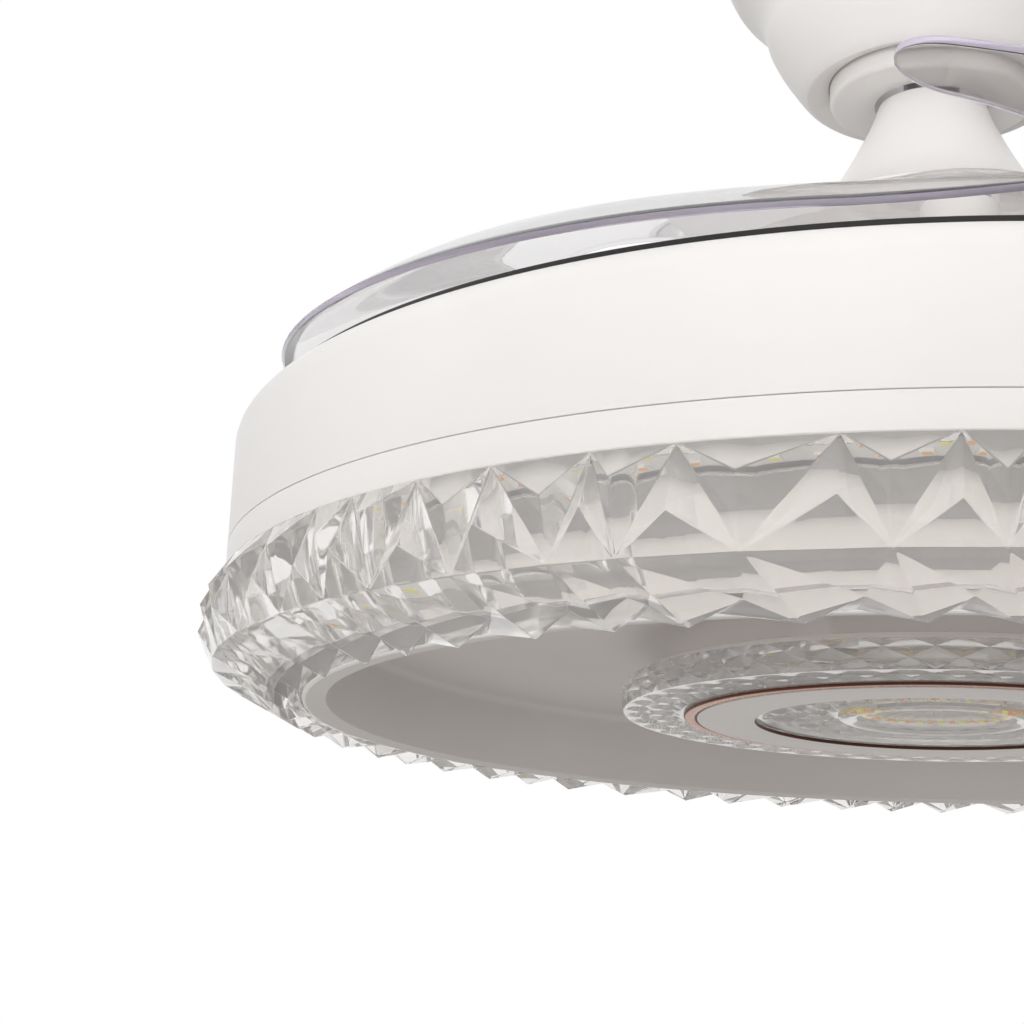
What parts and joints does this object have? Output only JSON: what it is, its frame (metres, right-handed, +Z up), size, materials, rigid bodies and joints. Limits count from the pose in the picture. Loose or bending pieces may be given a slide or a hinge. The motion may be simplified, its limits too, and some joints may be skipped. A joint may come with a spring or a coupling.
{
  "type": "retractable ceiling fan",
  "caption": "Round ceiling fan with a short stem, folding clear blades over a white drum, a faceted crystal light ring below and a small lit crystal disc in its recess",
  "frame": {"origin": "centre of the hanger bracket's upper face, which lies against the ceiling", "axes": "+Z is up, towards the ceiling; +X runs along the hanger bracket; the fan hangs below the origin with its rotor axis on Z"},
  "size_m": [0.5156, 0.5156, 0.3171],
  "materials": {
    "white_paint": "matt white powder paint, faintly warm",
    "white_plastic": "white moulded plastic",
    "black_plastic": "black moulded cover plate",
    "crystal": "clear moulded crystal, sharp facets outside and smooth inside",
    "blade_plastic": "clear moulded plastic with a faint violet edge",
    "copper": "rose copper trim, satin",
    "steel": "zinc-plated steel",
    "light_board": "white light board that carries the diodes",
    "dark_plastic": "dark moulded plastic",
    "magnet": "bonded ferrite"
  },
  "bodies": {
    "ceiling_mount": {"hanger_bracket": "steel", "ceiling_screw_1": "steel", "ceiling_screw_2": "steel", "canopy": "white_paint", "canopy_cap": "white_paint", "canopy_screw_1": "steel", "canopy_screw_2": "steel"},
    "ball": {"hanger_ball": "dark_plastic"},
    "hanging_frame": {"down_rod": "steel", "cross_pin": "steel", "motor_yoke": "steel", "neck_cover": "white_paint", "motor_shaft": "steel", "shaft_nut": "steel", "base_plate": "steel", "top_plate": "black_plastic", "frame_post_1": "steel", "frame_post_2": "steel", "frame_post_3": "steel", "drum_shell": "white_paint", "lower_band": "white_paint", "outer_light_board": "light_board", "crystal_ring": "crystal", "recess_tray": "white_paint", "standoff_1": "white_plastic", "standoff_2": "white_plastic", "standoff_3": "white_plastic", "disc_back_plate": "white_paint", "crystal_disc": "crystal", "inner_light_board": "light_board", "white_ring": "white_paint", "copper_ring": "copper", "centre_crystal": "crystal", "light_driver": "white_plastic", "remote_receiver": "white_plastic", "stator": "steel"},
    "rotor": {"lower_rotor_shell": "steel", "upper_rotor_shell": "steel", "magnet_ring": "magnet", "lower_bearing": "steel", "upper_bearing": "steel", "blade_carrier": "steel", "rotor_cover": "white_plastic", "pivot_pin_1": "steel", "pivot_pin_2": "steel", "pivot_pin_3": "steel", "return_spring_1": "steel", "return_spring_2": "steel", "return_spring_3": "steel"},
    "blade_arm_1": {"blade_1": "blade_plastic", "blade_hub_1": "white_plastic"},
    "blade_arm_2": {"blade_2": "blade_plastic", "blade_hub_2": "white_plastic"},
    "blade_arm_3": {"blade_3": "blade_plastic", "blade_hub_3": "white_plastic"}
  },
  "joints": [
    {"name": "ball_tilt_x", "type": "hinge", "parent": "ceiling_mount", "child": "ball", "pos_m": [0, 0, -0.032], "axis": [1, 0, 0], "range_deg": [-2, 2]},
    {"name": "ball_tilt_y", "type": "hinge", "parent": "ball", "child": "hanging_frame", "pos_m": [0, 0, -0.032], "axis": [0, 1, 0], "range_deg": [-2, 2]},
    {"name": "rotor_spin", "type": "hinge", "parent": "hanging_frame", "child": "rotor", "pos_m": [0, 0, -0.19], "axis": [0, 0, 1], "continuous": true},
    {"name": "blade_1_fold", "type": "hinge", "parent": "rotor", "child": "blade_arm_1", "pos_m": [0.00741, -0.16984, -0.18], "axis": [0, 0, 1], "range_deg": [0, 135], "stiffness_Nm_per_rad": 0.05, "springref_deg": -20.05},
    {"name": "blade_2_fold", "type": "hinge", "parent": "rotor", "child": "blade_arm_2", "pos_m": [0.14338, 0.09134, -0.18], "axis": [0, 0, 1], "range_deg": [0, 135]},
    {"name": "blade_3_fold", "type": "hinge", "parent": "rotor", "child": "blade_arm_3", "pos_m": [-0.15079, 0.0785, -0.18], "axis": [0, 0, 1], "range_deg": [0, 135]}
  ],
  "couplings": [
    {"joint": "blade_2_fold", "follows": "blade_1_fold", "ratio": 1},
    {"joint": "blade_3_fold", "follows": "blade_1_fold", "ratio": 1}
  ]
}
